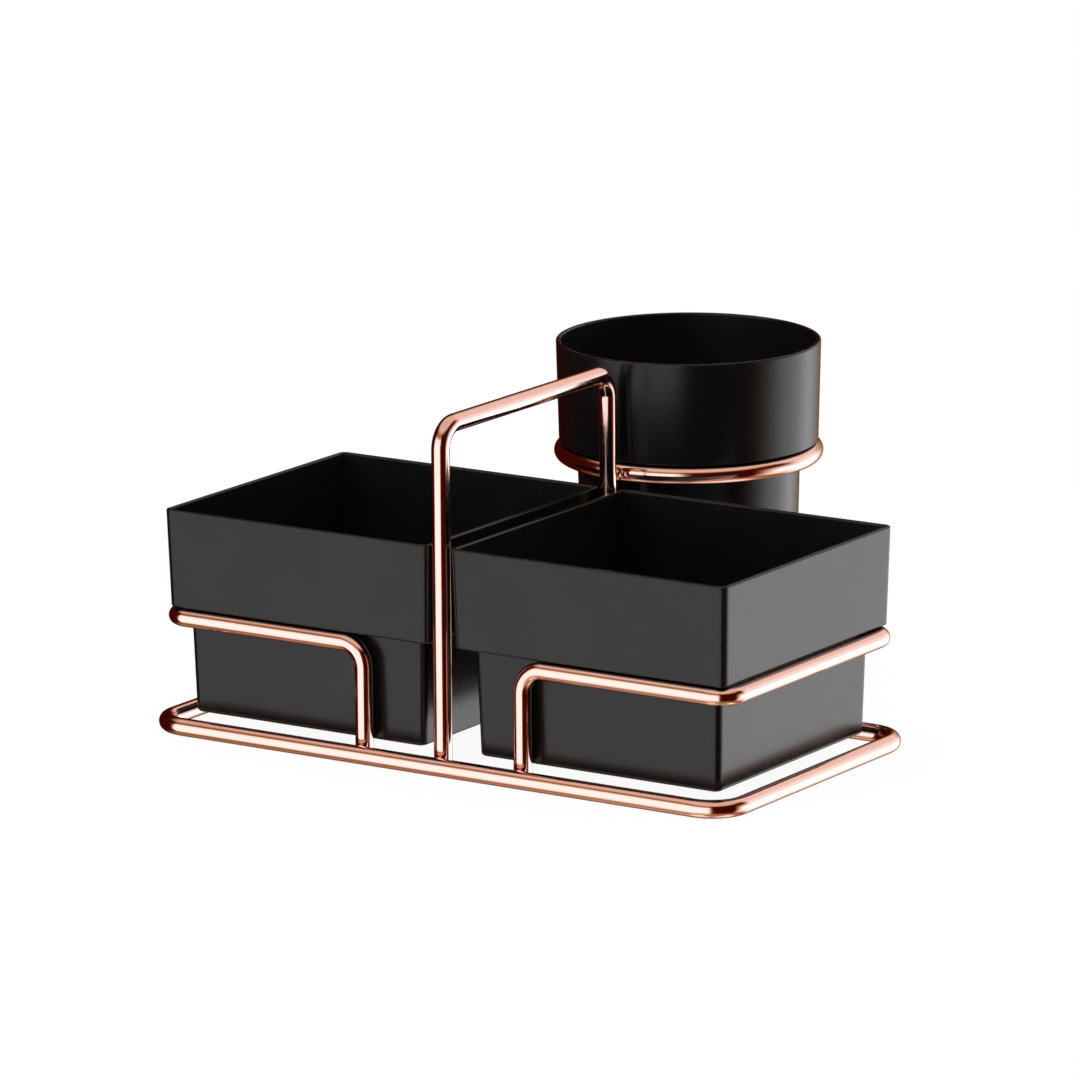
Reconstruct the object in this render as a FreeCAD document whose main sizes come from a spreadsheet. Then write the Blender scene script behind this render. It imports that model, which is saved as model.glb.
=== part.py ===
"""Coffee station organizer: a bent wire stand that carries two stepped bins and a round cup.

Frame: +X to the right, +Y to the back, +Z up. The origin is the middle of the base loop's
footprint, on the table. Lengths are in millimetres and angles in degrees.

The stand is round wire throughout. A closed base loop lies on the table. Inside its front and
back wires stand the legs of two C-shaped rails, one for each bin, and the two posts of the
handle, an upside-down U. A round wire ring for the cup is welded behind the handle's back post.
The bins and the cup are thin moulded shells with a wide collar over a narrower lower part, and
each hangs in its wire by the shoulder between the two.
"""
import FreeCAD, Part
import Sketcher
import os

doc = FreeCAD.newDocument("organizer")

# Driving sizes, one row each: name, value, what it is
SIZES = [
    ("wire_diameter", 5.4, "round wire of the whole stand"),
    ("elbow_radius", 7.0, "bend of legs and posts, on the wire's centre line"),
    ("base_corner_radius", 10.0, "bend of the base loop, on the centre line"),
    ("corner_radius", 6.0, "bend of the rails seen from above, on the centre line"),
    ("weld_gap", 0.15, "root gap between two wires that are welded side by side"),
    ("leg_foot_height", 0.5, "how far the legs and posts end above the table"),
    ("bin_width", 93.6, "bin, left to right, outside the rim"),
    ("bin_depth", 93.6, "bin, front to back, outside the rim"),
    ("bin_height", 62.0, "bin, bottom to rim"),
    ("collar_height", 29.7, "bin, shoulder to rim"),
    ("step_width", 4.3, "bin, how far the lower part is set in under the shoulder"),
    ("bin_base_height", 5.1, "bin's bottom above the table"),
    ("bin_corner_radius", 1.6, "bin's upright outer edges"),
    ("bin_inner_radius", 1.2, "bin's upright inner edges"),
    ("draft_angle", 1.5, "draft of every moulded wall, degrees"),
    ("wall", 1.5, "moulded wall of bins and cup"),
    ("floor_thickness", 2.0, "moulded floor of bins and cup"),
    ("rim_round", 0.5, "rounding of the rims"),
    ("shoulder_round", 0.8, "rounding of the collar's lower edge"),
    ("bottom_round", 1.2, "rounding of the outer bottom edge"),
    ("floor_round", 0.8, "rounding inside, round the floor"),
    ("post_clearance", 0.95, "from a handle post to each bin's rim"),
    ("seat_gap", 0.3, "running gap between a shoulder and the wire below it"),
    ("rail_front_gap", 0.4, "from a bin's lower part to the rail in front and behind"),
    ("rail_side_gap", 2.0, "from a bin's lower part to the rail at its side"),
    ("leg_spacing", 55.2, "between the two front legs, centre to centre"),
    ("base_side_margin", 2.2, "how far the base loop stands out past the rails at each side"),
    ("handle_height", 105.0, "top of the handle above the table"),
    ("cup_diameter", 80.0, "cup, outside the rim"),
    ("cup_height", 62.0, "cup, bottom to rim"),
    ("cup_collar_height", 31.0, "cup, shoulder to rim"),
    ("cup_step_width", 5.4, "cup, how far the lower part is set in under the shoulder"),
    ("ring_radius", 38.0, "cup ring, on the wire's centre line"),
    ("ring_height", 70.9, "cup ring's centre line above the table"),
    ("ring_post_gap", 1.7, "between the handle's back post and the cup ring, filled by the weld"),
    ("weld_radius", 2.5, "weld beads"),
]

sheet = doc.addObject("Spreadsheet::Sheet", "Sizes")
for row, (alias, number, note) in enumerate(SIZES, start=1):
    sheet.set(f"A{row}", alias)
    sheet.set(f"B{row}", str(number))
    sheet.setAlias(f"B{row}", alias)
    sheet.set(f"C{row}", note)
doc.recompute()


def size(alias):
    return f"Sizes.{alias}"


# Derived sizes, each an expression over the driving ones
WIRE_RADIUS = "Sizes.wire_diameter / 2"
SLOPE = "tan(Sizes.draft_angle * 1 deg)"
LOWER_HEIGHT = "(Sizes.bin_height - Sizes.collar_height)"
STEP_IN = f"(Sizes.collar_height * {SLOPE} + Sizes.step_width)"
LOWER_HALF_WIDTH = f"(Sizes.bin_width / 2 - {STEP_IN})"
LOWER_HALF_DEPTH = f"(Sizes.bin_depth / 2 - {STEP_IN})"
BIN_X = f"({WIRE_RADIUS} + Sizes.post_clearance + Sizes.bin_width / 2)"
RAIL_Z = f"(Sizes.bin_base_height + {LOWER_HEIGHT} - Sizes.seat_gap - {WIRE_RADIUS})"
RAIL_X = f"({BIN_X} + {LOWER_HALF_WIDTH} + Sizes.rail_side_gap + {WIRE_RADIUS})"
RAIL_Y = f"({LOWER_HALF_DEPTH} + Sizes.rail_front_gap + {WIRE_RADIUS})"
LEG_X = "(Sizes.leg_spacing / 2)"
BASE_X = f"({RAIL_X} + Sizes.base_side_margin)"
BASE_Y = f"({RAIL_Y} + Sizes.wire_diameter + Sizes.weld_gap)"
HANDLE_Z = f"(Sizes.handle_height - {WIRE_RADIUS})"
CUP_Y = f"({RAIL_Y} + Sizes.wire_diameter + Sizes.ring_post_gap + Sizes.ring_radius)"
CUP_LOWER_HEIGHT = "(Sizes.cup_height - Sizes.cup_collar_height)"
CUP_STEP_IN = f"(Sizes.cup_collar_height * {SLOPE} + Sizes.cup_step_width)"
CUP_BASE_Z = f"(Sizes.ring_height + {WIRE_RADIUS} + Sizes.seat_gap - {CUP_LOWER_HEIGHT})"


def number(expression):
    """The expression's present value, for a sketch's first guess."""
    value = sheet.evalExpression(str(expression))
    return float(getattr(value, "Value", value))


def new_body(name):
    body = doc.addObject("PartDesign::Body", name)
    body.Label = name
    return body


def origin_plane(body, role):
    return next(part for part in body.Origin.OriginFeatures if part.Role == role)


def new_sketch(body, name, role, lift="0"):
    """A sketch on one of the body's own planes, moved along that plane's normal."""
    sketch = body.newObject("Sketcher::SketchObject", name)
    sketch.AttachmentSupport = [(origin_plane(body, role), "")]
    sketch.MapMode = "FlatFace"
    sketch.setExpression("AttachmentOffset.Base.z", lift)
    return sketch


def bind(sketch, constraint, name, expression):
    """Add a dimension and tie it to the sheet."""
    index = sketch.addConstraint(constraint)
    sketch.renameConstraint(index, name)
    sketch.setExpression(f"Constraints.{name}", expression)


def pin_coordinate(sketch, kind, geometry, point, name, expression):
    """Hold one coordinate of a point; a point at zero lies on the sketch's axis instead."""
    axis = -2 if kind == "DistanceX" else -1
    if expression == "0":
        sketch.addConstraint(Sketcher.Constraint("PointOnObject", geometry, point, axis))
        return
    value = number(expression)
    bind(sketch, Sketcher.Constraint(kind, -1, 1, geometry, point, value), name, expression)


def circle(sketch, x, y, radius, name="wire"):
    centre = FreeCAD.Vector(number(x), number(y), 0)
    edge = Part.Circle(centre, FreeCAD.Vector(0, 0, 1), number(radius))
    index = sketch.addGeometry(edge)
    bind(sketch, Sketcher.Constraint("Radius", index, number(radius)), name + "_radius", radius)
    pin_coordinate(sketch, "DistanceX", index, 3, name + "_x", x)
    pin_coordinate(sketch, "DistanceY", index, 3, name + "_y", y)


def bent_path(sketch, corners, radius, closed=False):
    """A square-cornered path with every corner rounded by a tangent quarter circle.

    corners are (x, y) expressions. Each run is level or upright. An open path's first and last
    corners are its ends; a closed path is rounded at all its corners.
    """
    points = [FreeCAD.Vector(number(x), number(y), 0) for x, y in corners]
    bend = number(radius)
    count = len(points)
    runs = count if closed else count - 1
    lines = []
    for i in range(runs):
        start, end = points[i], points[(i + 1) % count]
        along = (end - start).normalize() * bend
        first = start + along if closed or i > 0 else start
        last = end - along if closed or i < runs - 1 else end
        lines.append(sketch.addGeometry(Part.LineSegment(first, last)))
        level = abs(end.y - start.y) < abs(end.x - start.x)
        sketch.addConstraint(Sketcher.Constraint("Horizontal" if level else "Vertical", lines[i]))
        if level:
            pin_coordinate(sketch, "DistanceY", lines[i], 1, f"run_{i}", corners[i][1])
        else:
            pin_coordinate(sketch, "DistanceX", lines[i], 1, f"run_{i}", corners[i][0])
    bends = []
    joins = runs if closed else runs - 1
    for i in range(joins):
        before, after = lines[i], lines[(i + 1) % runs]
        start = sketch.Geometry[before].EndPoint
        end = sketch.Geometry[after].StartPoint
        corner = points[(i + 1) % count]
        centre = start + end - corner
        middle = centre + (corner - centre).normalize() * bend
        arc = sketch.addGeometry(Part.Arc(start, middle, end))
        turn = (start - centre).cross(end - centre).z
        near, far = (1, 2) if turn > 0 else (2, 1)
        sketch.addConstraint(Sketcher.Constraint("Tangent", before, 2, arc, near))
        sketch.addConstraint(Sketcher.Constraint("Tangent", arc, far, after, 1))
        if bends:
            sketch.addConstraint(Sketcher.Constraint("Equal", bends[0], arc))
        else:
            bind(sketch, Sketcher.Constraint("Radius", arc, bend), "bend", radius)
        bends.append(arc)
    if not closed:
        for index, point, corner, name in ((lines[0], 1, corners[0], "start"),
                                           (lines[-1], 2, corners[-1], "finish")):
            line = sketch.Geometry[index]
            level = abs(line.EndPoint.y - line.StartPoint.y) < abs(line.EndPoint.x - line.StartPoint.x)
            if level:
                pin_coordinate(sketch, "DistanceX", index, point, name, corner[0])
            else:
                pin_coordinate(sketch, "DistanceY", index, point, name, corner[1])


def pipe(body, name, profile, path):
    feature = body.newObject("PartDesign::AdditivePipe", name)
    feature.Profile = profile
    feature.Spine = path
    return feature


def make_base_loop():
    """The closed loop of wire that lies on the table."""
    body = new_body("base_loop")
    path = new_sketch(body, "base_path", "XY_Plane", WIRE_RADIUS)
    corners = [(f"-{BASE_X}", f"-{BASE_Y}"), (BASE_X, f"-{BASE_Y}"), (BASE_X, BASE_Y), (f"-{BASE_X}", BASE_Y)]
    bent_path(path, corners, size("base_corner_radius"), closed=True)
    section = new_sketch(body, "base_wire", "YZ_Plane")
    circle(section, f"-{BASE_Y}", WIRE_RADIUS, WIRE_RADIUS)
    pipe(body, "base_pipe", section, path)
    return body


def make_rail(name, side):
    """One C-shaped rail: up from the base's front wire, round three sides of a bin, down behind.

    side is "-" for the left rail and "" for the right one.
    """
    body = new_body(name)
    front = new_sketch(body, name + "_front_path", "XZ_Plane", RAIL_Y)
    bend_start = f"({RAIL_X} - Sizes.corner_radius)"
    corners = [(f"{side}{LEG_X}", size("leg_foot_height")), (f"{side}{LEG_X}", RAIL_Z),
               (f"{side}{bend_start}", RAIL_Z)]
    bent_path(front, corners, size("elbow_radius"))
    foot = new_sketch(body, name + "_foot_wire", "XY_Plane", size("leg_foot_height"))
    circle(foot, f"{side}{LEG_X}", f"-{RAIL_Y}", WIRE_RADIUS)
    leg = pipe(body, name + "_leg", foot, front)

    around = new_sketch(body, name + "_side_path", "XY_Plane", RAIL_Z)
    corners = [(f"{side}{bend_start}", f"-{RAIL_Y}"), (f"{side}{RAIL_X}", f"-{RAIL_Y}"),
               (f"{side}{RAIL_X}", RAIL_Y), (f"{side}{bend_start}", RAIL_Y)]
    side_path(around, corners)
    start = new_sketch(body, name + "_side_wire", "YZ_Plane", f"{side}{bend_start}")
    circle(start, f"-{RAIL_Y}", RAIL_Z, WIRE_RADIUS)
    pipe(body, name + "_side", start, around)

    back = body.newObject("PartDesign::Mirrored", name + "_back_leg")
    back.Originals = [leg]
    back.MirrorPlane = (origin_plane(body, "XZ_Plane"), [""])
    body.Tip = back
    return body


def side_path(sketch, corners):
    """The rail's side run with its two corner bends, which meet the front and back runs."""
    (x0, y0), (x1, y1), (x2, y2), (x3, y3) = corners
    bend = number(size("corner_radius"))
    start, corner_a, corner_b, end = [FreeCAD.Vector(number(x), number(y), 0) for x, y in corners]
    up = FreeCAD.Vector(0, bend, 0)
    across = FreeCAD.Vector(0.5 ** 0.5 * bend if corner_a.x > 0 else -0.5 ** 0.5 * bend, 0, 0)
    down = FreeCAD.Vector(0, 0.5 ** 0.5 * bend, 0)
    first = sketch.addGeometry(Part.Arc(start, start + up + across - down, corner_a + up))
    run = sketch.addGeometry(Part.LineSegment(corner_a + up, corner_b - up))
    last = sketch.addGeometry(Part.Arc(corner_b - up, end - up + across + down, end))
    # An arc's own points run counterclockwise, so a left-hand rail meets them the other way round
    near, far = (1, 2) if corner_a.x > 0 else (2, 1)
    sketch.addConstraint(Sketcher.Constraint("Vertical", run))
    sketch.addConstraint(Sketcher.Constraint("Tangent", first, far, run, 1))
    sketch.addConstraint(Sketcher.Constraint("Tangent", run, 2, last, near))
    sketch.addConstraint(Sketcher.Constraint("Equal", first, last))
    bind(sketch, Sketcher.Constraint("Radius", first, bend), "bend", size("corner_radius"))
    pin_coordinate(sketch, "DistanceX", run, 1, "side", x1)
    pin_coordinate(sketch, "DistanceX", first, near, "front_end_x", x0)
    pin_coordinate(sketch, "DistanceY", first, near, "front_end_y", y0)
    pin_coordinate(sketch, "DistanceX", last, far, "back_end_x", x3)
    pin_coordinate(sketch, "DistanceY", last, far, "back_end_y", y3)


def make_handle():
    """The upside-down U between the bins, which is also the grip to carry the stand by."""
    body = new_body("handle")
    path = new_sketch(body, "handle_path", "YZ_Plane")
    corners = [(f"-{RAIL_Y}", size("leg_foot_height")), (f"-{RAIL_Y}", HANDLE_Z),
               (RAIL_Y, HANDLE_Z), (RAIL_Y, size("leg_foot_height"))]
    bent_path(path, corners, size("elbow_radius"))
    foot = new_sketch(body, "handle_wire", "XY_Plane", size("leg_foot_height"))
    circle(foot, "0", f"-{RAIL_Y}", WIRE_RADIUS)
    pipe(body, "handle_pipe", foot, path)
    return body


def make_cup_ring():
    """The closed ring of wire that carries the cup by its shoulder."""
    body = new_body("cup_ring")
    section = new_sketch(body, "ring_wire", "XZ_Plane")
    circle(section, size("ring_radius"), "0", WIRE_RADIUS)
    ring = body.newObject("PartDesign::Revolution", "ring_turn")
    ring.Profile = section
    ring.ReferenceAxis = (section, ["V_Axis"])
    ring.Angle = 360
    body.setExpression("Placement.Base.y", CUP_Y)
    body.setExpression("Placement.Base.z", size("ring_height"))
    return body


def rounded_rectangle(body, name, height, half_width, half_depth, radius):
    sketch = new_sketch(body, name, "XY_Plane", height)
    corners = [(f"-{half_width}", f"-{half_depth}"), (half_width, f"-{half_depth}"),
               (half_width, half_depth), (f"-{half_width}", half_depth)]
    bent_path(sketch, corners, radius, closed=True)
    return sketch


def loft(body, kind, name, lower, upper):
    feature = body.newObject(kind, name)
    feature.Profile = lower
    feature.Sections = [upper]
    feature.Ruled = True
    return feature


def level_edges(shape, height, reach):
    """Names of the edges that lie at one height, further out than reach."""
    names = []
    for index, edge in enumerate(shape.Edges, start=1):
        box = edge.BoundBox
        level = abs(box.ZMin - height) < 1e-3 and abs(box.ZMax - height) < 1e-3
        middle = edge.valueAt((edge.FirstParameter + edge.LastParameter) / 2)
        if level and max(abs(middle.x), abs(middle.y)) > reach:
            names.append(f"Edge{index}")
    return names


def round_edges(body, name, heights, radius, reach="0"):
    """Round every level edge at these heights that lies further out than reach."""
    doc.recompute()
    base = body.Tip
    names = []
    for height in heights:
        names += level_edges(base.Shape, number(height), number(reach))
    feature = body.newObject("PartDesign::Fillet", name)
    feature.Base = (base, names)
    feature.setExpression("Radius", radius)
    return feature


def make_bin(name, side):
    """A stepped rectangular bin: collar, shoulder and lower part, hollow and open at the top."""
    body = new_body(name)
    top = size("bin_height")
    shoulder = LOWER_HEIGHT
    # Each level: height, and how far the outside stands in from the rim's outline
    outer_levels = [
        ("bottom", "0", f"({STEP_IN} + {LOWER_HEIGHT} * {SLOPE})"),
        ("under_shoulder", shoulder, STEP_IN),
        ("shoulder", shoulder, f"(Sizes.collar_height * {SLOPE})"),
        ("rim", top, "0"),
    ]
    ledge = f"({shoulder} + Sizes.wall)"
    inner_levels = [
        ("floor", size("floor_thickness"),
         f"({STEP_IN} + ({LOWER_HEIGHT} - Sizes.floor_thickness) * {SLOPE} + Sizes.wall)"),
        ("under_ledge", ledge, f"({STEP_IN} - Sizes.wall * {SLOPE} + Sizes.wall)"),
        ("ledge", ledge, f"((Sizes.collar_height - Sizes.wall) * {SLOPE} + Sizes.wall)"),
        ("mouth", top, "Sizes.wall"),
    ]
    outlines = {}
    for levels, radius in ((outer_levels, size("bin_corner_radius")), (inner_levels, size("bin_inner_radius"))):
        for level, height, inset in levels:
            half_width = f"(Sizes.bin_width / 2 - {inset})"
            half_depth = f"(Sizes.bin_depth / 2 - {inset})"
            outlines[level] = rounded_rectangle(body, f"{name}_{level}", height, half_width, half_depth, radius)
    loft(body, "PartDesign::AdditiveLoft", name + "_lower", outlines["bottom"], outlines["under_shoulder"])
    loft(body, "PartDesign::AdditiveLoft", name + "_collar", outlines["shoulder"], outlines["rim"])
    loft(body, "PartDesign::SubtractiveLoft", name + "_well", outlines["floor"], outlines["under_ledge"])
    loft(body, "PartDesign::SubtractiveLoft", name + "_mouth_cut", outlines["ledge"], outlines["mouth"])
    round_edges(body, name + "_rim_round", [top], size("rim_round"))
    round_edges(body, name + "_bottom_round", ["0"], size("bottom_round"))
    round_edges(body, name + "_shoulder_round", [shoulder], size("shoulder_round"),
                f"({LOWER_HALF_DEPTH} + Sizes.step_width / 2)")
    round_edges(body, name + "_floor_round", [size("floor_thickness")], size("floor_round"))
    body.setExpression("Placement.Base.x", f"{side}{BIN_X}")
    body.setExpression("Placement.Base.z", size("bin_base_height"))
    return body


def make_cup():
    """The round cup: the bins' section turned about its own axis."""
    body = new_body("round_cup")
    rim = "(Sizes.cup_diameter / 2)"
    drop = CUP_LOWER_HEIGHT
    ledge = f"({drop} + Sizes.wall)"
    well = f"({rim} - {CUP_STEP_IN} - Sizes.wall)"
    outline = [
        ("0", "0"),
        (f"({rim} - {CUP_STEP_IN} - {drop} * {SLOPE})", "0"),
        (f"({rim} - {CUP_STEP_IN})", drop),
        (f"({rim} - Sizes.cup_collar_height * {SLOPE})", drop),
        (rim, size("cup_height")),
        (f"({rim} - Sizes.wall)", size("cup_height")),
        (f"({rim} - Sizes.wall - (Sizes.cup_collar_height - Sizes.wall) * {SLOPE})", ledge),
        (f"({well} + Sizes.wall * {SLOPE})", ledge),
        (f"({well} - ({drop} - Sizes.floor_thickness) * {SLOPE})", size("floor_thickness")),
        ("0", size("floor_thickness")),
    ]
    profile = new_sketch(body, "cup_profile", "XZ_Plane")
    points = [FreeCAD.Vector(number(x), number(y), 0) for x, y in outline]
    lines = []
    for i, start in enumerate(points):
        lines.append(profile.addGeometry(Part.LineSegment(start, points[(i + 1) % len(points)])))
    for i, line in enumerate(lines):
        profile.addConstraint(Sketcher.Constraint("Coincident", line, 2, lines[(i + 1) % len(lines)], 1))
        pin_coordinate(profile, "DistanceX", line, 1, f"radius_{i}", outline[i][0])
        pin_coordinate(profile, "DistanceY", line, 1, f"height_{i}", outline[i][1])
    turn = body.newObject("PartDesign::Revolution", "cup_turn")
    turn.Profile = profile
    turn.ReferenceAxis = (profile, ["V_Axis"])
    turn.Angle = 360
    round_edges(body, "cup_rim_round", [size("cup_height")], size("rim_round"))
    round_edges(body, "cup_bottom_round", ["0"], size("bottom_round"))
    round_edges(body, "cup_shoulder_round", [drop], size("shoulder_round"), f"({rim} - Sizes.cup_step_width)")
    round_edges(body, "cup_floor_round", [size("floor_thickness")], size("floor_round"))
    body.setExpression("Placement.Base.y", CUP_Y)
    body.setExpression("Placement.Base.z", CUP_BASE_Z)
    return body


def weld_bead(name, x, y, z, wires):
    """A bead that fills the groove between two wires: a ball on their joint less the wires."""
    bead = doc.addObject("Part::Sphere", name + "_ball")
    bead.setExpression("Radius", size("weld_radius"))
    for axis, expression in (("x", x), ("y", y), ("z", z)):
        bead.setExpression(f"Placement.Base.{axis}", expression)
    for index, wire in enumerate(wires):
        cut = doc.addObject("Part::Cut", f"{name}_{index}")
        cut.Base = bead
        cut.Tool = wire
        bead = cut
    return bead


def make_foot_welds(base, rails, handle):
    """The beads that join each leg and post to the inside of the base loop."""
    beads = []
    across = f"({RAIL_Y} + {WIRE_RADIUS} + Sizes.weld_gap / 2)"
    for sign, place in (("-", "front"), ("", "back")):
        for foot, x, wire in (("left_leg", f"-{LEG_X}", rails[0]), ("post", "0", handle),
                              ("right_leg", LEG_X, rails[1])):
            beads.append(weld_bead(f"{place}_{foot}_weld", x, f"{sign}{across}", WIRE_RADIUS, [base, wire]))
    group = doc.addObject("Part::Compound", "foot_welds")
    group.Label = "foot_welds"
    group.Links = beads
    return group


def make_ring_weld(ring, handle):
    """The bead between the handle's back post and the cup ring."""
    across = f"({RAIL_Y} + {WIRE_RADIUS} + Sizes.ring_post_gap / 2)"
    bead = weld_bead("ring_weld", "0", across, size("ring_height"), [handle, ring])
    bead.Label = "ring_weld"
    return bead


base_loop = make_base_loop()
left_rail = make_rail("left_rail", "-")
right_rail = make_rail("right_rail", "")
handle = make_handle()
cup_ring = make_cup_ring()
left_bin = make_bin("left_bin", "-")
right_bin = make_bin("right_bin", "")
round_cup = make_cup()
doc.recompute()
foot_welds = make_foot_welds(base_loop, (left_rail, right_rail), handle)
ring_weld = make_ring_weld(cup_ring, handle)
doc.recompute()

parts = [base_loop, left_rail, right_rail, handle, cup_ring, foot_welds, ring_weld,
         left_bin, right_bin, round_cup]

failed = [item.Name for item in doc.Objects if "Invalid" in item.State or "Error" in item.State]
if failed:
    raise RuntimeError("failed features: " + ", ".join(failed))
os.makedirs("parts", exist_ok=True)
for part in parts:
    shape = part.Shape
    if shape.isNull() or not shape.isValid() or not shape.Solids:
        raise RuntimeError(part.Label + " has no valid shape")
    box = shape.BoundBox
    print(f"{part.Label:12s} solids {len(shape.Solids)}  volume {shape.Volume:10.1f}  "
          f"x {box.XMin:7.2f} {box.XMax:7.2f}  y {box.YMin:7.2f} {box.YMax:7.2f}  "
          f"z {box.ZMin:7.2f} {box.ZMax:7.2f}")
    shape.exportStep(f"parts/{part.Label}.step")
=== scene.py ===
# %% [markdown]
# # A coffee corner organizer: bent wire and moulded bins
#
# The object is a stand of polished rose-gold wire with two square black bins and a round black
# cup hanging in it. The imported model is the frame: it fixes every place and size. This script
# builds finer surfaces over it, gives them their finishes, and sets up the studio.

import bpy
import numpy as np
from mathutils import Matrix, Vector


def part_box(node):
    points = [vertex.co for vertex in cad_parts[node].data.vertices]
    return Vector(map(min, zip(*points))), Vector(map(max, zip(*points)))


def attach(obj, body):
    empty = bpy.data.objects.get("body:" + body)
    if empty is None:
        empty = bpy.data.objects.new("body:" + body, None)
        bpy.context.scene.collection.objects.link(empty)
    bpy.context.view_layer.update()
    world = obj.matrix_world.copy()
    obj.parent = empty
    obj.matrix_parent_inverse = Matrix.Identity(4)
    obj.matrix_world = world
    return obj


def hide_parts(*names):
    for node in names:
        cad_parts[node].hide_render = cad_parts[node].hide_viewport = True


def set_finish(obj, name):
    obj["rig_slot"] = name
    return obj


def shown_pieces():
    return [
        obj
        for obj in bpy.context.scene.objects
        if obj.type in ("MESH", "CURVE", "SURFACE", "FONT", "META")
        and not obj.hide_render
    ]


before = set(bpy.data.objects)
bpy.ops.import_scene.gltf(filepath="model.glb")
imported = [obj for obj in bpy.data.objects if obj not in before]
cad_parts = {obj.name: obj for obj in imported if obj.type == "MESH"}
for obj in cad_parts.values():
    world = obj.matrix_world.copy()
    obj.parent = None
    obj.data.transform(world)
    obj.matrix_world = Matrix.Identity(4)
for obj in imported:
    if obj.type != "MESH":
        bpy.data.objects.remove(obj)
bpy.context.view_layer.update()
MM = 0.001
print("nodes:", sorted(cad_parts))

# %% [markdown]
# ## The camera
#
# The photograph was taken with a long lens from the front right and a little above. The angles,
# the distance and the point looked at were fitted to the object's edges. The camera's own axes
# are built from those angles and written as the columns of its matrix, so nothing is aimed by eye.

# %% Place the camera
AZIMUTH, ELEVATION, ROLL = np.radians([33.093, 12.942, -0.371])
DISTANCE = 2.35557
LOOK_RIGHT, LOOK_UP = 0.003999, 0.058584
FOCAL_PIXELS, PHOTO_PIXELS, SENSOR_MM = 7988.2, 1080, 36


def camera_axes(azimuth, elevation, roll):
    """Right, up and back. Back is (sin a cos e, -cos a cos e, sin e), right is (cos a, sin a, 0)."""
    flat, rise = np.cos(elevation), np.sin(elevation)
    back = np.array([np.sin(azimuth) * flat, -np.cos(azimuth) * flat, rise])
    right = np.array([np.cos(azimuth), np.sin(azimuth), 0])
    up = np.cross(back, right)
    turned = np.cos(roll) * right + np.sin(roll) * up
    return right, up, turned, np.cross(back, turned), back


right, up, turned_right, turned_up, back = camera_axes(AZIMUTH, ELEVATION, ROLL)
place = LOOK_RIGHT * right + LOOK_UP * up + DISTANCE * back
lens = bpy.data.cameras.new("camera")
lens.sensor_width = SENSOR_MM
lens.lens = FOCAL_PIXELS / PHOTO_PIXELS * SENSOR_MM
camera = bpy.data.objects.new("camera", lens)
columns = np.column_stack([turned_right, turned_up, back, place])
camera.matrix_world = Matrix(columns.tolist() + [[0, 0, 0, 1]])
bpy.context.scene.collection.objects.link(camera)
bpy.context.scene.camera = camera
print("lens", round(lens.lens, 1), "mm, camera at", place.round(3))

# %% [markdown]
# ## A skin over a grid of points
#
# Every piece here is a surface with two parameters: one along the piece and one round it. The
# points come as a whole array of rows and columns. This helper turns the array into a mesh,
# closes it where it has to close, and makes sure that its faces point outwards.

# %% Grid to mesh


def skin(name, grid, along=False):
    """A closed mesh over grid[row, column]. Columns wrap round. Rows wrap too if along is True,
    and otherwise each end is closed with a fan to its middle point."""
    rows, columns = grid.shape[:2]
    index = np.arange(rows * columns).reshape(rows, columns)
    index = np.hstack([index, index[:, :1]])
    if along:
        index = np.vstack([index, index[:1]])
    corners = [index[:-1, :-1], index[:-1, 1:], index[1:, 1:], index[1:, :-1]]
    quads = np.stack(corners, axis=-1).reshape(-1, 4)
    points = grid.reshape(-1, 3)
    fans = np.empty((0, 3), int)
    if not along:
        first, last = len(points), len(points) + 1
        points = np.vstack([points, grid[0].mean(axis=0), grid[-1].mean(axis=0)])
        start = np.stack([index[0, 1:], index[0, :-1], np.full(columns, first)], axis=-1)
        finish = np.stack([index[-1, :-1], index[-1, 1:], np.full(columns, last)], axis=-1)
        fans = np.vstack([start, finish])
    if signed_volume(points, quads, fans) < 0:
        quads, fans = quads[:, ::-1], fans[:, ::-1]
    mesh = bpy.data.meshes.new(name)
    mesh.from_pydata(points, [], quads.tolist() + fans.tolist())
    mesh.polygons.foreach_set("use_smooth", np.ones(len(mesh.polygons), bool))
    piece = bpy.data.objects.new(name, mesh)
    bpy.context.scene.collection.objects.link(piece)
    return piece


def signed_volume(points, quads, fans):
    """The sum over triangles of a . (b x c) / 6, positive when the faces point outwards."""
    triangles = np.vstack([quads[:, [0, 1, 2]], quads[:, [0, 2, 3]], fans])
    a, b, c = points[triangles].transpose(1, 0, 2)
    return np.einsum("ij,ij->", a, np.cross(b, c)) / 6


def finish_piece(piece, body, nodes, slot_name):
    """The piece stands for those CAD nodes, moves with their body and takes their finish."""
    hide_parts(*nodes)
    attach(piece, body)
    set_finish(piece, slot_name)
    print(piece.name, "has", len(piece.data.polygons), "faces")
    return piece


# %% [markdown]
# ## The wires
#
# The real stand is bent from wire 5.4 mm thick on a bending machine: straight runs joined by quarter
# circles. A curve object with a bevel could make it, but its rings bunch up at tight bends. Here
# the rings are carried along the centre line with two cross directions that turn with each bend,
# so the wire stays truly round and its reflections run smoothly through the bends.

# %% Carry a ring along bent wire


def bend(corner, before, after, radius, u, v, steps=24):
    """A quarter circle from direction before to direction after, tangent to both runs.
    Point: centre - R cos t after + R sin t before. A cross direction's part along after turns to
    cos t after - sin t before, and its part across both stays."""
    t = np.linspace(0, np.pi / 2, steps + 1)[:, None]
    centre = corner - radius * before + radius * after
    line = centre - radius * np.cos(t) * after + radius * np.sin(t) * before
    turning = np.cos(t) * after - np.sin(t) * before
    binormal = np.cross(before, after)
    turned = [(w @ after) * turning + (w @ binormal) * binormal for w in (u, v)]
    return line, turned[0], turned[1]


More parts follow.
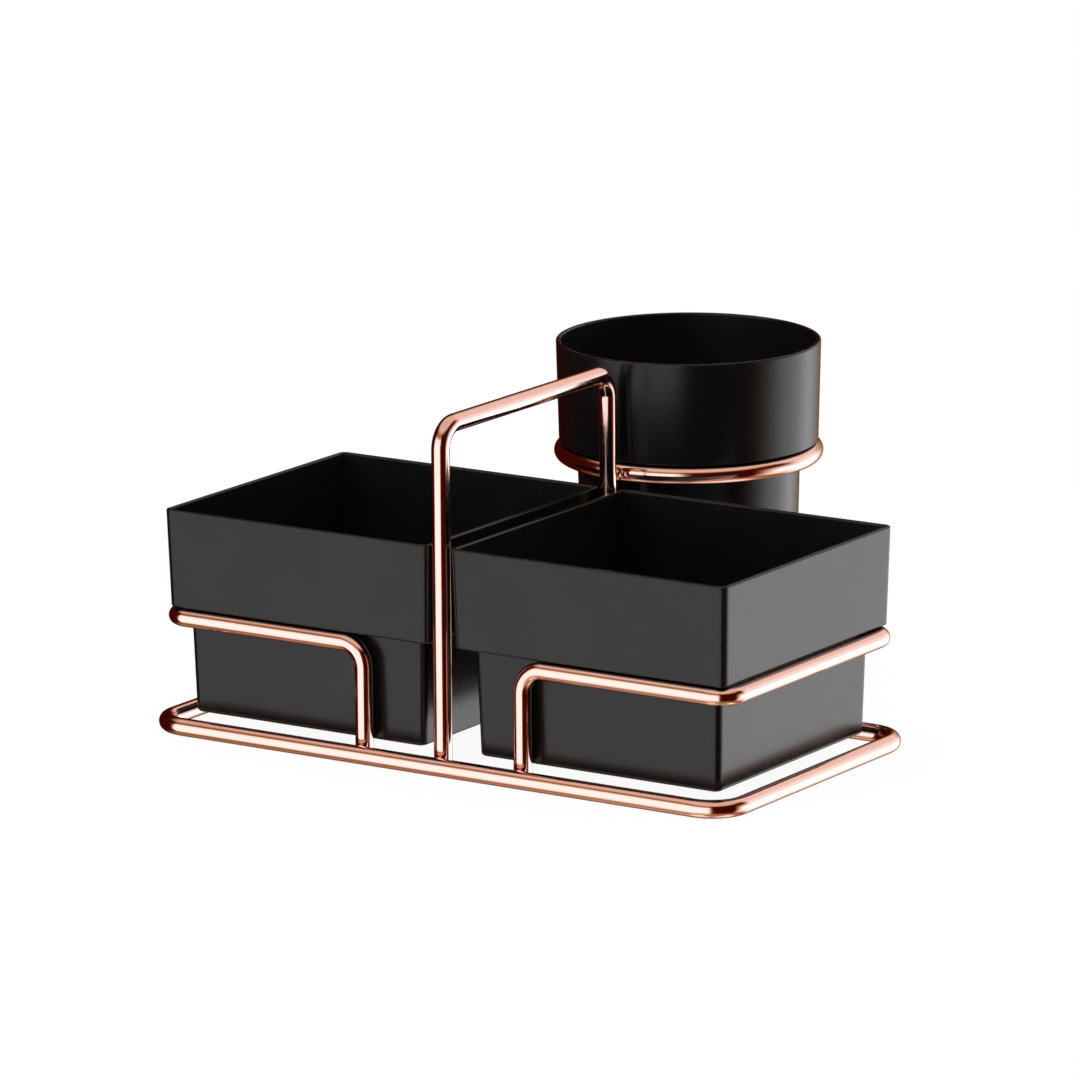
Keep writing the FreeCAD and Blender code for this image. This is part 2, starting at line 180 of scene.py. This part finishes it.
def hold(line, u, v, before, after, distance=0.4 * MM):
    """The same stretch with one more ring just before it and just after it, which keeps the
    shading of the straight runs straight."""
    line = np.vstack([line[0] - distance * before, line, line[-1] + distance * after])
    return line, np.vstack([u[0], u, u[-1]]), np.vstack([v[0], v, v[-1]])


SLANT = (0.48, 0.6, 0.64)


def bent_line(corners, radii, closed=False):
    """Centre line and cross directions through all the bends, without the two ends. The first
    cross direction is the first run x SLANT, and no run of the stand lies along SLANT."""
    corners = np.array(corners, float)
    runs = np.roll(corners, -1, axis=0) - corners
    runs /= np.linalg.norm(runs, axis=1)[:, None]
    turns = range(len(corners)) if closed else range(1, len(corners) - 1)
    first = runs[turns[0] - 1]
    u = np.cross(first, SLANT)
    u /= np.linalg.norm(u)
    v = np.cross(first, u)
    stretches = []
    for turn, radius in zip(turns, radii):
        before, after = runs[turn - 1], runs[turn]
        line, us, vs = bend(corners[turn], before, after, radius, u, v)
        stretches.append(hold(line, us, vs, before, after))
        u, v = us[-1], vs[-1]
    return [np.vstack(part) for part in zip(*stretches)]


def sweep(line, u, v, radius, around=48):
    """Rings: point = line + radius (cos a u + sin a v)."""
    a = np.linspace(0, 2 * np.pi, around, endpoint=False)[None, :, None]
    across = np.cos(a) * u[:, None] + np.sin(a) * v[:, None]
    return line[:, None] + np.reshape(radius, (-1, 1, 1)) * across


def open_wire(name, corners, radii, wire_radius, edge=0.45 * MM, rings=7):
    """A wire with two cut ends. Each end's edge is rounded: radius R - e + e sin a at e - e cos a
    from the cut, with a from 0 to 90 degrees."""
    line, u, v = bent_line(corners, radii)
    a = np.linspace(0, np.pi / 2, rings)
    depth, shrink = edge * (1 - np.cos(a)), edge * (1 - np.sin(a))
    corners = np.array(corners, float)
    inward = [(corners[1] - corners[0]), (corners[-2] - corners[-1])]
    inward = [way / np.linalg.norm(way) for way in inward]
    head = corners[0] + depth[:, None] * inward[0]
    tail = corners[-1] + depth[::-1, None] * inward[1]
    line = np.vstack([head, line, tail])
    u, v = [np.vstack([np.tile(w[0], (rings, 1)), w, np.tile(w[-1], (rings, 1))]) for w in (u, v)]
    radius = np.full(len(line), wire_radius)
    radius[:rings] -= shrink
    radius[-rings:] -= shrink[::-1]
    return skin(name, sweep(line, u, v, radius))


# %% [markdown]
# ## The base loop, rails, handle and ring
#
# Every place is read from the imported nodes' boxes: the wire's thickness is the base loop's
# height, and a centre line runs half a thickness inside its node's box. The bend radii are
# what the bending tools leave: 7 mm at the upright elbows, 6 mm at the rails' flat corners and
# 10 mm at the base loop's.

# %% Make the wire pieces
low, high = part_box("base_loop")
WIRE = (high.z - low.z) / 2
ELBOW, CORNER, BASE_CORNER = 7 * MM, 6 * MM, 10 * MM
SQUARE = ((-1, -1), (1, -1), (1, 1), (-1, 1))
base_x, base_y = high.x - WIRE, high.y - WIRE
loop = [(x * base_x, y * base_y, WIRE) for x, y in SQUARE]
base_loop = skin("base_wire", sweep(*bent_line(loop, [BASE_CORNER] * 4, closed=True), WIRE), along=True)
finish_piece(base_loop, "stand", ["base_loop"], "wire")

low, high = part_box("right_rail")
foot, leg_x = low.z, low.x + WIRE
rail_x, rail_y, rail_z = high.x - WIRE, high.y - WIRE, high.z - WIRE
for side, sign in (("left", -1), ("right", 1)):
    leg, end = sign * leg_x, sign * rail_x
    route = [(leg, -rail_y, foot), (leg, -rail_y, rail_z), (end, -rail_y, rail_z),
             (end, rail_y, rail_z), (leg, rail_y, rail_z), (leg, rail_y, foot)]
    rail = open_wire(side + "_rail_wire", route, [ELBOW, CORNER, CORNER, ELBOW], WIRE)
    finish_piece(rail, "stand", [side + "_rail"], "wire")

low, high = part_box("handle")
top = high.z - WIRE
route = [(0, -rail_y, foot), (0, -rail_y, top), (0, rail_y, top), (0, rail_y, foot)]
handle = open_wire("handle_wire", route, [ELBOW, ELBOW], WIRE)
finish_piece(handle, "stand", ["handle"], "wire")

# %% Make the cup ring
low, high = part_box("cup_ring")
ring_y, ring_z = (low.y + high.y) / 2, (low.z + high.z) / 2
ring_radius = (high.y - low.y) / 2 - WIRE


def ring_line(count=160):
    """A circle: centre + R (cos a, sin a, 0), with the outward way and straight up across it."""
    a = np.linspace(0, 2 * np.pi, count, endpoint=False)[:, None]
    outward = np.hstack([np.cos(a), np.sin(a), 0 * a])
    return ring_radius * outward + [0, ring_y, ring_z], outward, np.tile([0.0, 0.0, 1.0], (count, 1))


cup_ring = skin("cup_ring_wire", sweep(*ring_line(), WIRE), along=True)
finish_piece(cup_ring, "stand", ["cup_ring"], "wire")

# %% [markdown]
# ## The welds
#
# Each leg is spot-welded to the inside of the base loop, and the ring to the handle's back post.
# A weld shows as a small smooth bead that swells out of the groove between two wires. It is a
# ball, a little flattened and uneven, as molten metal sets; the wires hide the rest of it.

# %% Make the weld beads
FOOT_BEAD, RING_BEAD = np.array([[2.3, 2.5, 2.0], [2.5, 2.5, 2.4]]) * MM
MEAN, ROUND_WAVE, UP_WAVE = 0.95, 0.03, 0.02


def bead(centre, half_sizes, seed, rows=20, columns=32, last_row=1.5):
    """An uneven ball: centre + half size * direction * (mean + small waves round it and up it).
    Its rows end at last_row radians from the middle, and fans close it."""
    up_angle = np.linspace(-last_row, last_row, rows)[:, None]
    round_angle = np.linspace(0, 2 * np.pi, columns, endpoint=False)[None, :]
    way = np.stack([np.cos(up_angle) * np.cos(round_angle), np.cos(up_angle) * np.sin(round_angle),
                    np.sin(up_angle) + 0 * round_angle], axis=-1)
    wave = ROUND_WAVE * np.sin(3 * round_angle + seed) * np.cos(up_angle)
    wave = wave + UP_WAVE * np.sin(5 * up_angle + seed)
    return np.array(centre) + np.array(half_sizes) * way * (MEAN + wave)[..., None]


weld_y = (rail_y + base_y) / 2
places = [(x, y) for y in (-weld_y, weld_y) for x in (-leg_x, 0, leg_x)]
for number, (x, y) in enumerate(places):
    spot = skin(f"foot_weld_{number + 1}", bead((x, y, WIRE), FOOT_BEAD, number))
    finish_piece(spot, "stand", ["foot_welds"], "wire")
low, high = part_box("ring_weld")
middle = (low + high) / 2
spot = skin("ring_weld_bead", bead((0, middle.y, ring_z), RING_BEAD, len(places) + 1))
finish_piece(spot, "stand", ["ring_weld"], "wire")

# %% [markdown]
# ## The moulded profile
#
# Both bins and the cup are thin plastic with one and the same section: a drafted lower part, a
# shoulder, a wide collar and a rounded rim, and the same again inside. The section is written as
# a few corners, each with the radius that the mould leaves there, and the rounding is worked out.

# %% Round the corners of a section


def rounded_section(corners, steps=8, near=0.3 * MM):
    """Rows of (inset, height, corner radius) from corners of (inset, height, rounding, corner).
    The arc at a corner: start + r (sin t e + (1 - cos t) n), where e is the way in and n is the
    way the section turns. The corner radius seen from above shrinks as the inset grows."""
    corners = np.array(corners, float)
    rows = [np.array([corners[0][[0, 1, 3]]])]
    for before, here, after in zip(corners[:-2], corners[1:-1], corners[2:]):
        way_in, way_out = here[:2] - before[:2], after[:2] - here[:2]
        way_in, way_out = way_in / np.linalg.norm(way_in), way_out / np.linalg.norm(way_out)
        turn = np.arccos(np.clip(way_in @ way_out, -1, 1))
        side = (way_out - way_in * np.cos(turn)) / np.sin(turn)
        reach = here[2] * np.tan(turn / 2)
        t = np.linspace(0, turn, steps + 1)[:, None]
        arc = here[:2] - reach * way_in + here[2] * (np.sin(t) * way_in + (1 - np.cos(t)) * side)
        arc = np.vstack([arc[0] - near * way_in, arc, arc[-1] + near * way_out])
        rows.append(np.column_stack([arc, here[3] - (arc[:, 0] - here[0])]))
    rows.append(np.array([corners[-1][[0, 1, 3]]]))
    return np.vstack(rows)


DRAFT = np.radians(1.5)
WALL, FLOOR, FINE = 1.5 * MM, 2.0 * MM, 0.25 * MM
RIM_ROUND, SHOULDER_ROUND, BOTTOM_ROUND, FLOOR_ROUND = 0.5 * MM, 0.8 * MM, 1.2 * MM, 0.8 * MM


def shell_section(height, collar, step, outer, inner, middle=30 * MM):
    """The corners of the section from the underside out, up, over the rim, down inside and back
    along the floor. Outer and inner are the upright corners' radii. The two ends, at the inset
    middle, only give directions; the fans of the skin close the underside and the floor."""
    slope = np.tan(DRAFT)
    drop = height - collar
    step_in = collar * slope + step
    foot_in = step_in + drop * slope
    ledge = drop + WALL
    return [
        (middle, 0, 0, 0),
        (foot_in, 0, BOTTOM_ROUND, outer),
        (step_in, drop, FINE, outer),
        (collar * slope, drop, SHOULDER_ROUND, outer),
        (0, height, RIM_ROUND, outer),
        (WALL, height, RIM_ROUND, inner),
        (WALL + (collar - WALL) * slope, ledge, FINE, inner),
        (step_in + WALL - WALL * slope, ledge, FINE, inner),
        (foot_in + WALL - FLOOR * slope, FLOOR, FLOOR_ROUND, inner),
        (middle, FLOOR, 0, 0),
    ]


# %% [markdown]
# ## The bins
#
# A bin is that section carried round a rectangle with small rounded corners. The straight sides
# get an extra column close to each corner, for the same reason as the wires' extra rings: broad
# flat faces must not borrow any of the corner's curvature when they are shaded smoothly.

# %% Carry a section round a rounded rectangle


def moulded_bin(name, centre, half_x, half_y, base, section, steps=10, near=0.4 * MM, least=0.05 * MM):
    """Point: corner's own centre + c (cos a, sin a) + push (-sin a, cos a), where c is the corner
    radius and push moves the first and last column of each corner out along the straight side."""
    inset, height, corner = rounded_section(section)[1:-1].T
    corner = np.clip(corner, least, None)
    quarter = np.linspace(0, np.pi / 2, steps + 1)
    quarter = np.concatenate([quarter[:1], quarter, quarter[-1:]])
    push = np.concatenate([[-near], np.zeros(steps + 1), [near]])
    angle = (quarter[None, :] + np.arange(4)[:, None] * np.pi / 2).ravel()[None, :]
    push = np.tile(push, 4)[None, :]
    sign_x = np.repeat([1, -1, -1, 1], steps + 3)[None, :]
    sign_y = np.repeat([1, 1, -1, -1], steps + 3)[None, :]
    inset, height, corner = inset[:, None], height[:, None], corner[:, None]
    x = sign_x * (half_x - inset - corner) + corner * np.cos(angle) - push * np.sin(angle)
    y = sign_y * (half_y - inset - corner) + corner * np.sin(angle) + push * np.cos(angle)
    z = base + height + 0 * angle
    return skin(name, np.stack([x + centre[0], y + centre[1], z], axis=-1))


BIN_COLLAR, BIN_STEP = 29.7 * MM, 4.3 * MM
OUTER_CORNER, INNER_CORNER = 2.4 * MM, 1.2 * MM
for side in ("left", "right"):
    low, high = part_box(side + "_bin")
    half, middle = (high - low) / 2, (high + low) / 2
    section = shell_section(high.z - low.z, BIN_COLLAR, BIN_STEP, OUTER_CORNER, INNER_CORNER)
    piece = moulded_bin(side + "_bin_shell", (middle.x, middle.y), half.x, half.y, low.z, section)
    finish_piece(piece, side + "_bin", [side + "_bin"], "bin_plastic")

# %% [markdown]
# ## The cup
#
# The cup's section is the bins' own with a slightly longer collar and a deeper step, turned round
# an upright axis.

# %% Turn the cup
CUP_COLLAR, CUP_STEP = 31 * MM, 5.4 * MM
low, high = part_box("round_cup")
cup_y, rim = (low.y + high.y) / 2, (high.x - low.x) / 2


def turned_cup(name, section, columns=160):
    """Point: axis + (rim - inset) (cos a, sin a), at the section's height."""
    inset, height, _ = rounded_section(section)[1:-1].T
    a = np.linspace(0, 2 * np.pi, columns, endpoint=False)[None, :]
    radius = (rim - inset)[:, None]
    z = (low.z + height)[:, None] + 0 * a
    return skin(name, np.stack([radius * np.cos(a), cup_y + radius * np.sin(a), z], axis=-1))


section = shell_section(high.z - low.z, CUP_COLLAR, CUP_STEP, 0, 0)
finish_piece(turned_cup("round_cup_shell", section), "cup", ["round_cup"], "bin_plastic")

# %% [markdown]
# ## Finishes: node helpers
#
# Both finishes are made of noise read in Object coordinates, so a pattern stays fixed to its
# piece in metres, at real scale. Noise stays mostly between 0.3 and 0.7, so that range is what
# gets spread over a finish's values. Small helpers keep the node code short.

# %% Node helpers
NOISE_RANGE = 0.3, 0.7


def new_material(name):
    """A principled material, with its nodes, its links and its shader."""
    material = bpy.data.materials.new(name)
    material.use_nodes = True
    nodes = material.node_tree.nodes
    return material, nodes, material.node_tree.links, nodes["Principled BSDF"]


def noise(nodes, links, scale, detail=2.0):
    """Noise in Object coordinates; scale is in waves per metre."""
    coordinates = nodes.new("ShaderNodeTexCoord")
    texture = nodes.new("ShaderNodeTexNoise")
    texture.inputs["Scale"].default_value = scale
    texture.inputs["Detail"].default_value = detail
    links.new(coordinates.outputs["Object"], texture.inputs["Vector"])
    return texture.outputs["Fac"]


def spread(nodes, links, source, from_values, to_values, smooth=False):
    """The source with its range from_values spread over to_values, straight or smoothly."""
    node = nodes.new("ShaderNodeMapRange")
    if smooth:
        node.interpolation_type = "SMOOTHSTEP"
    names = ("From Min", "From Max", "To Min", "To Max")
    for name, value in zip(names, (*from_values, *to_values)):
        node.inputs[name].default_value = value
    links.new(source, node.inputs["Value"])
    return node.outputs["Result"]


def two_tones(nodes, links, source, first, second):
    """The source's noise range as a ramp from the first tone to the second."""
    ramp = nodes.new("ShaderNodeValToRGB")
    for element, position, tone in zip(ramp.color_ramp.elements, NOISE_RANGE, (first, second)):
        element.position = position
        element.color = (*tone, 1)
    links.new(source, ramp.inputs["Fac"])
    return ramp.outputs["Color"]


def bumps(nodes, links, source, distance, normal=None):
    """Raises the surface by up to distance, in metres, where the source is high."""
    bump = nodes.new("ShaderNodeBump")
    bump.inputs["Strength"].default_value = 1.0
    bump.inputs["Distance"].default_value = distance
    links.new(source, bump.inputs["Height"])
    if normal is not None:
        links.new(normal, bump.inputs["Normal"])
    return bump.outputs["Normal"]


# %% [markdown]
# ## Rose-gold plating
#
# The wire is polished steel plated in rose gold. The plating is a true metal: its colour tints
# every reflection. Plated wire is never optically flat, so a very shallow waviness bends the
# reflections, a finer one breaks them up, and the polish varies a little from place to place.

# %% Rose-gold plating
GOLD_TONES = (0.94, 0.6, 0.53), (0.95, 0.62, 0.56)
GOLD_ROUGHNESS = 0.09, 0.15
GOLD_WAVE, GOLD_FINE = 0.03 * MM, 0.0015 * MM


def rose_gold():
    material, nodes, links, shader = new_material("rose_gold_plating")
    shader.inputs["Metallic"].default_value = 1.0
    tone = two_tones(nodes, links, noise(nodes, links, scale=60), *GOLD_TONES)
    links.new(tone, shader.inputs["Base Color"])
    uneven = noise(nodes, links, scale=900, detail=4.0)
    polish = spread(nodes, links, uneven, NOISE_RANGE, GOLD_ROUGHNESS)
    links.new(polish, shader.inputs["Roughness"])
    wave = bumps(nodes, links, noise(nodes, links, scale=110, detail=1.0), GOLD_WAVE)
    fine = bumps(nodes, links, noise(nodes, links, scale=1400, detail=3.0), GOLD_FINE, wave)
    links.new(fine, shader.inputs["Normal"])
    return material


# %% [markdown]
# ## Black moulded plastic
#
# The bins are black polypropylene with a satin gloss. The mould leaves a fine even grain, and
# the wall cools unevenly, so a broad face is very slightly wavy and its reflection drifts.

# %% Black moulded plastic
PLASTIC_IOR = 1.4
PLASTIC_TONES = (0.004, 0.004, 0.0041), (0.006, 0.006, 0.0061)
PLASTIC_ROUGHNESS = 0.21, 0.25
PLASTIC_SINK, PLASTIC_GRAIN = 0.12 * MM, 0.0006 * MM


def black_plastic():
    material, nodes, links, shader = new_material("black_moulded_plastic")
    shader.inputs["IOR"].default_value = PLASTIC_IOR
    tone = two_tones(nodes, links, noise(nodes, links, scale=40), *PLASTIC_TONES)
    links.new(tone, shader.inputs["Base Color"])
    uneven = noise(nodes, links, scale=500)
    gloss = spread(nodes, links, uneven, NOISE_RANGE, PLASTIC_ROUGHNESS)
    links.new(gloss, shader.inputs["Roughness"])
    sink = bumps(nodes, links, noise(nodes, links, scale=28, detail=1.0), PLASTIC_SINK)
    grain = bumps(nodes, links, noise(nodes, links, scale=1500, detail=1.0), PLASTIC_GRAIN, sink)
    links.new(grain, shader.inputs["Normal"])
    return material


# %% [markdown]
# ## Finishes on the pieces
#
# Each piece already knows its material slot by name, so one table turns slots into finishes and
# no piece can be forgotten.

# %% Put the finishes on
FINISHES = {"wire": rose_gold(), "bin_plastic": black_plastic()}
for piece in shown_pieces():
    piece.data.materials.clear()
    piece.data.materials.append(FINISHES[piece["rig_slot"]])

# %% [markdown]
# ## The studio
#
# A white floor and a white world give the plain background. The camera sees the world as white
# and the floor as nearly white: near the object the floor keeps a share of its real shading, so
# that the soft shadow stays. Diffuse light meets a plain matt floor and a dimmer world.

# %% Node helpers for the studio


def bare_material(name):
    """A material with an empty node tree, its nodes and its links."""
    material, nodes, links, _ = new_material(name)
    nodes.clear()
    return material, nodes, links


def calculate(nodes, links, operation, *values):
    """One arithmetic step on plain numbers and sockets."""
    node = nodes.new("ShaderNodeMath")
    node.operation = operation
    for socket, value in zip(node.inputs, values):
        if isinstance(value, (int, float)):
            socket.default_value = value
        else:
            links.new(value, socket)
    return node.outputs[0]


def vector_math(nodes, links, operation, first, second=None):
    """One vector step. Returns the node, because a result may be a vector or a value."""
    node = nodes.new("ShaderNodeVectorMath")
    node.operation = operation
    links.new(first, node.inputs[0])
    if second is not None:
        node.inputs[1].default_value = second
    return node


# %% Floor and world


def seen_directly(nodes, links):
    """1 for camera, glossy and transmission rays, 0 for the rest."""
    path = nodes.new("ShaderNodeLightPath")
    total = path.outputs["Is Camera Ray"]
    for name in ("Is Glossy Ray", "Is Transmission Ray"):
        total = calculate(nodes, links, "MAXIMUM", total, path.outputs[name])
    return total


def white_floor(grey=0.92, shading=0.06, near=0.2, far=0.7):
    """A diffuse floor that the camera sees mostly as plain white, and wholly so past far metres."""
    material, nodes, links = bare_material("white_floor")
    diffuse = nodes.new("ShaderNodeBsdfDiffuse")
    diffuse.inputs["Color"].default_value = (grey, grey, grey, 1)
    plain = nodes.new("ShaderNodeEmission")
    coordinates = nodes.new("ShaderNodeTexCoord")
    distance = vector_math(nodes, links, "LENGTH", coordinates.outputs["Object"]).outputs["Value"]
    plainness = spread(nodes, links, distance, (near, far), (1 - shading, 1), smooth=True)
    share = calculate(nodes, links, "MULTIPLY", seen_directly(nodes, links), plainness)
    mix = nodes.new("ShaderNodeMixShader")
    output = nodes.new("ShaderNodeOutputMaterial")
    links.new(share, mix.inputs["Fac"])
    links.new(diffuse.outputs[0], mix.inputs[1])
    links.new(plain.outputs[0], mix.inputs[2])
    links.new(mix.outputs[0], output.inputs["Surface"])
    return material


STUDIO_HALF = 5
floor_corners = [(x * STUDIO_HALF, y * STUDIO_HALF, 0) for x, y in SQUARE]
floor_mesh = bpy.data.meshes.new("floor")
floor_mesh.from_pydata(floor_corners, [], [(0, 1, 2, 3)])
floor = bpy.data.objects.new("floor", floor_mesh)
bpy.context.scene.collection.objects.link(floor)
floor_mesh.materials.append(white_floor())

world = bpy.data.worlds.new("studio")
bpy.context.scene.world = world
world.use_nodes = True
nodes, links = world.node_tree.nodes, world.node_tree.links
LIGHTING_STRENGTH, SEEN_STRENGTH = 0.55, 1.0
strength = spread(nodes, links, seen_directly(nodes, links), (0, 1), (LIGHTING_STRENGTH, SEEN_STRENGTH))
links.new(strength, nodes["Background"].inputs["Strength"])
nodes["Background"].inputs["Color"].default_value = (1, 1, 1, 1)
print("floor", 2 * STUDIO_HALF, "m wide, world strength", LIGHTING_STRENGTH, "and seen", SEEN_STRENGTH)

# %% [markdown]
# ## Lamps
#
# Three large square lamps light the object evenly from the front left, the back right and above.
# Reflections don't see them: what the gloss and the metal show is built in the next step.

# %% Lamps
LAMP_DISTANCE, LAMP_WIDTH = 1.2, 0.9
AIM = Vector((0, 0.03, 0.04))
LAMPS = [
    # name, azimuth, elevation, watts
    ("front_left_softbox", -33, 38, 7),
    ("back_right_softbox", 147, 35, 7),
    ("top_softbox", 0, 88, 6),
]


def soft_lamp(name, azimuth, elevation, watts):
    """A square area lamp that faces the middle of the object: place = aim + distance * way."""
    data = bpy.data.lights.new(name, "AREA")
    data.size = LAMP_WIDTH
    data.energy = watts
    lamp = bpy.data.objects.new(name, data)
    a, e = np.radians([azimuth, elevation])
    way = Vector((np.sin(a) * np.cos(e), -np.cos(a) * np.cos(e), np.sin(e)))
    lamp.location = way * LAMP_DISTANCE + AIM
    lamp.rotation_euler = way.to_track_quat("Z", "Y").to_euler()
    lamp.visible_glossy = False
    bpy.context.scene.collection.objects.link(lamp)
    return lamp


for row in LAMPS:
    print("lamp", soft_lamp(*row).name)

# %% [markdown]
# ## What the metal reflects
#
# Polished metal shows its surroundings, so a product photographer builds them: bright softboxes
# and dark flags. Here they are painted on one large dome that only reflections see. It is a whole
# sphere, and reflections look through the floor, so a wire shows the same studio at any height.

# %% The dome's grid


def dome_grid(radius=4.0, rows=60, columns=120, last_row=89):
    """Point: (R cos e sin a, -R cos e cos a, R sin e)."""
    a = np.linspace(0, 2 * np.pi, columns, endpoint=False)[None, :]
    e = np.radians(np.linspace(-last_row, last_row, rows))[:, None]
    flat, rise = np.cos(e), np.sin(e)
    return radius * np.stack([flat * np.sin(a), -flat * np.cos(a), rise + 0 * a], axis=-1)


# %% Node helpers for the dome


def facing(nodes, links, flat_way, azimuth, half_width, soft):
    """1 within half_width of an azimuth, falling to 0 over soft degrees."""
    a = np.radians(azimuth)
    along = vector_math(nodes, links, "DOT_PRODUCT", flat_way, (np.sin(a), -np.cos(a), 0))
    edges = np.cos(np.radians([half_width + soft, half_width]))
    return spread(nodes, links, along.outputs["Value"], edges, (0, 1), smooth=True)


def by_elevation(nodes, links, height, stops):
    """A grey ramp over (1 + sin(elevation)) / 2, from (elevation in degrees, share) stops."""
    ramp = nodes.new("ShaderNodeValToRGB")
    elements = ramp.color_ramp.elements
    while len(elements) < len(stops):
        elements.new(0.5)
    for element, (elevation, share) in zip(elements, stops):
        element.position = float(1 + np.sin(np.radians(elevation))) / 2
        element.color = (share, share, share, 1)
    links.new(height, ramp.inputs["Fac"])
    return ramp.outputs["Color"]


# %% [markdown]
# ## The dome's light
#
# Each softbox is a patch of the dome: an azimuth, half a width, a soft edge, and its light by
# elevation. The lights overhead and below go all round, and a white table shows far below at two
# sides. The directions were found from the photograph's bright and dark bands: a band's place on
# a round wire gives the way its surface faces, and so the way the reflection looks.

# %% Light of the dome
SOFTBOXES = [
    # name, azimuth, half width, soft edge, light, shares by elevation
    ("front left", -11, 30, 15, 1.47,
     [(-60, 0), (-50, 0.25), (-40, 0.5), (-30, 1), (14, 1), (26, 0.9), (33, 0.3), (42, 0.13),
      (48, 0)]),
    ("right", 140, 16, 34, 1.2,
     [(-46, 0), (-36, 0.8), (-28, 1), (2, 1), (10, 0.7), (20, 0.25), (28, 0)]),
    ("right strip", 142, 14, 18, 1.2, [(-27, 0), (-19, 1), (-7, 1), (1, 0)]),
    ("back right", 172, 10, 26, 0.45, [(-46, 0), (-36, 0.8), (-28, 1), (2, 1), (14, 0)]),
    ("back, high", 170, 20, 22, 0.84, [(5, 0), (14, 0.6), (24, 1), (40, 1), (48, 0.5), (56, 0)]),
]
OVERHEAD = [(40, 0), (48, 0.4), (56, 0.75), (75, 0.7), (89, 0.65)]
BELOW = [(-89, 0.35), (-58, 0.35), (-40, 0.1), (-34, 0)]
TABLE = [(-64, 0.8), (-58, 0)]
TABLE_SIDES, TABLE_HALF, TABLE_SOFT = (-55, 140), 30, 30
FLAG = (0.045, 0.003, 0.001)
WARMTH = (0.0, 0.3, 0.8)


def dome_light():
    """The softboxes' light t, tinted as a flag tints it: each channel is t * min(1, t) ** warmth,
    so bright light is neutral and its fading edge turns amber, over the flags' dark red. The
    white table is added last, untinted, and shows far below at two sides."""
    material, nodes, links = bare_material("reflection_dome")
    coordinates = nodes.new("ShaderNodeTexCoord")
    way = vector_math(nodes, links, "NORMALIZE", coordinates.outputs["Object"]).outputs["Vector"]
    flat = vector_math(nodes, links, "MULTIPLY", way, (1, 1, 0)).outputs["Vector"]
    flat_way = vector_math(nodes, links, "NORMALIZE", flat).outputs["Vector"]
    split = nodes.new("ShaderNodeSeparateXYZ")
    links.new(way, split.inputs[0])
    height = calculate(nodes, links, "MULTIPLY_ADD", split.outputs["Z"], 0.5, 0.5)
    above, below = [by_elevation(nodes, links, height, stops) for stops in (OVERHEAD, BELOW)]
    light = calculate(nodes, links, "ADD", above, below)
    for name, azimuth, half_width, soft, strength, stops in SOFTBOXES:
        across = facing(nodes, links, flat_way, azimuth, half_width, soft)
        upright = by_elevation(nodes, links, height, stops)
        patch = calculate(nodes, links, "MULTIPLY", across, upright)
        patch.node.label = name
        light = calculate(nodes, links, "MULTIPLY_ADD", patch, strength, light)
    colour = nodes.new("ShaderNodeCombineColor")
    dimness = calculate(nodes, links, "MINIMUM", light, 1.0)
    sides = [facing(nodes, links, flat_way, side, TABLE_HALF, TABLE_SOFT) for side in TABLE_SIDES]
    sides = calculate(nodes, links, "ADD", *sides)
    table = calculate(nodes, links, "MULTIPLY", sides, by_elevation(nodes, links, height, TABLE))
    for channel, warmth, flag in zip(("Red", "Green", "Blue"), WARMTH, FLAG):
        tint = calculate(nodes, links, "POWER", dimness, warmth)
        over_flag = calculate(nodes, links, "MULTIPLY_ADD", light, tint, flag)
        links.new(calculate(nodes, links, "ADD", over_flag, table), colour.inputs[channel])
    glow = nodes.new("ShaderNodeEmission")
    links.new(colour.outputs[0], glow.inputs["Color"])
    output = nodes.new("ShaderNodeOutputMaterial")
    links.new(glow.outputs[0], output.inputs["Surface"])
    return material


dome = skin("reflection_dome", dome_grid())
dome.data.materials.append(dome_light())
for kind in ("camera", "diffuse", "transmission", "volume_scatter", "shadow"):
    setattr(dome, "visible_" + kind, False)
floor.visible_glossy = False
print("dome with", len(SOFTBOXES), "softboxes, table light at", TABLE_SIDES, "degrees")

# %% [markdown]
# ## View settings
#
# The Standard view shows a colour as it is written.

# %% View settings
bpy.context.scene.view_settings.view_transform = "Standard"
